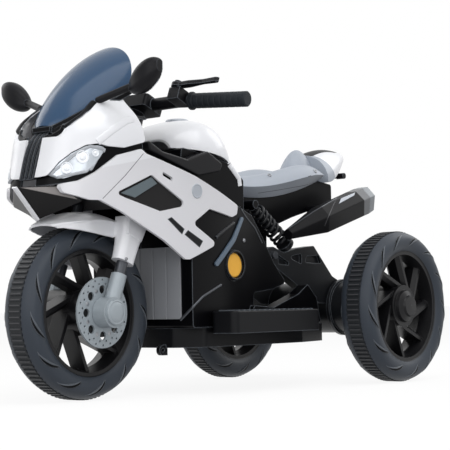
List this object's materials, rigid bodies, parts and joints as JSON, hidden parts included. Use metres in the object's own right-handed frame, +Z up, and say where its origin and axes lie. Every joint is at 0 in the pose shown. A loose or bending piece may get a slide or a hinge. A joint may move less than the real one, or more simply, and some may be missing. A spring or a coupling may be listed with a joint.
{
  "type": "ride-on electric trike",
  "caption": "Child's battery ride-on in sport-motorbike style: one steered front wheel, two rear wheels on a sprung arm, white fairings, smoked screen, footrests and a saddle.",
  "frame": {"origin": "on the ground, midway along the length and on the middle plane", "axes": "+X forward, +Y to the rider's left, +Z up"},
  "size_m": [0.932, 0.486, 0.5952],
  "materials": {
    "white_gloss": "gloss",
    "smoke_screen": "gloss",
    "clear_lens": "gloss",
    "reflector": "gloss",
    "black_satin": "satin",
    "black_matte": "matte",
    "wheel_black": "satin",
    "tread_rubber": "matte",
    "grip_rubber": "matte",
    "silver_satin": "satin",
    "grey_plastic": "matte",
    "steel": "satin",
    "mirror_glass": "gloss",
    "grey_seat": "matte",
    "amber": "gloss",
    "red_lens": "gloss",
    "motor_grey": "matte",
    "red_button": "gloss"
  },
  "bodies": {
    "chassis": {"air_ducts": "black_satin", "battery": "motor_grey", "chassis_base": "black_matte", "control_box": "black_matte", "dash_panel": "black_satin", "footrests": "black_matte", "headlamp_lenses": "clear_lens", "headlamp_shells": "reflector", "knee_panels": "black_satin", "left_body_half": "black_matte", "left_nose_cowl": "white_gloss", "left_side_fairing": "white_gloss", "mirror_glasses": "mirror_glass", "mirrors": "black_satin", "muffler_caps": "silver_satin", "mufflers": "black_satin", "nose_beak": "black_satin", "nose_grille": "black_satin", "radiator_panel": "grey_plastic", "rear_indicators": "black_satin", "right_body_half": "black_matte", "right_nose_cowl": "white_gloss", "right_side_fairing": "white_gloss", "seat": "grey_seat", "seat_hump": "grey_seat", "shock_sleeves": "steel", "shock_springs": "steel", "side_lamps": "amber", "side_trims": "grey_plastic", "steering_bush": "black_matte", "swing_pivot": "steel", "tail_cowl": "white_gloss", "tail_lamp": "red_lens", "tail_top": "black_satin", "tank_cap": "black_satin", "tank_cover": "white_gloss", "windscreen": "smoke_screen", "windscreen_trim": "black_satin"},
    "steering": {"handlebar": "black_satin", "grips": "grip_rubber", "fork_legs": "silver_satin", "fork_tubes": "steel", "fork_crown": "black_satin", "front_axle": "steel", "front_mudguard": "white_gloss"},
    "front_wheel_spin": {"front_wheel": "wheel_black", "front_tread": "tread_rubber", "brake_disc": "silver_satin"},
    "swing_arm_body": {"swing_arm": "black_matte", "rear_axle": "steel", "gear_motors": "motor_grey"},
    "left_wheel_spin": {"left_rear_wheel": "wheel_black", "left_rear_tread": "tread_rubber"},
    "right_wheel_spin": {"right_rear_wheel": "wheel_black", "right_rear_tread": "tread_rubber"},
    "left_lever_body": {"left_lever": "black_satin"},
    "right_lever_body": {"right_lever": "black_satin"},
    "pedal_body": {"accelerator_pedal": "black_matte"},
    "button_body": {"power_button": "red_button"},
    "switch_body": {"direction_switch": "black_satin"}
  },
  "joints": [
    {"name": "steering_turn", "type": "hinge", "parent": "chassis", "child": "steering", "pos_m": [0.323, 0, 0.143], "axis": [-0.3746, 0, 0.9272], "range_deg": [-25, 25]},
    {"name": "front_wheel_turn", "type": "hinge", "parent": "steering", "child": "front_wheel_spin", "pos_m": [0.323, 0, 0.143], "axis": [0, 1, 0], "continuous": true},
    {"name": "swing_arm_lift", "type": "hinge", "parent": "chassis", "child": "swing_arm_body", "pos_m": [-0.104, 0, 0.242], "axis": [0, 1, 0], "range_deg": [-1, 3], "stiffness_Nm_per_rad": 600, "deforming": ["shock_springs"]},
    {"name": "left_wheel_turn", "type": "hinge", "parent": "swing_arm_body", "child": "left_wheel_spin", "pos_m": [-0.323, 0.205, 0.143], "axis": [0, 1, 0], "continuous": true},
    {"name": "right_wheel_turn", "type": "hinge", "parent": "swing_arm_body", "child": "right_wheel_spin", "pos_m": [-0.323, -0.205, 0.143], "axis": [0, 1, 0], "continuous": true},
    {"name": "left_lever_pull", "type": "hinge", "parent": "steering", "child": "left_lever_body", "pos_m": [0.1959, 0.1146, 0.52166], "axis": [-0.3746, 0, 0.9272], "range_deg": [0, 12], "stiffness_Nm_per_rad": 0.4},
    {"name": "right_lever_pull", "type": "hinge", "parent": "steering", "child": "right_lever_body", "pos_m": [0.1959, -0.1146, 0.52166], "axis": [-0.3746, 0, 0.9272], "range_deg": [-12, 0], "stiffness_Nm_per_rad": 0.4},
    {"name": "pedal_press", "type": "hinge", "parent": "chassis", "child": "pedal_body", "pos_m": [-0.023, -0.144, 0.1487], "axis": [0, 1, 0], "range_deg": [0, 6], "stiffness_Nm_per_rad": 3},
    {"name": "power_button_press", "type": "slide", "parent": "chassis", "child": "button_body", "axis": [0, 0, -1], "range_m": [0, 0.003], "stiffness_N_per_m": 400},
    {"name": "direction_switch_rock", "type": "hinge", "parent": "chassis", "child": "switch_body", "pos_m": [0.288, -0.026, 0.462], "axis": [0, 1, 0], "range_deg": [-8, 8]}
  ]
}
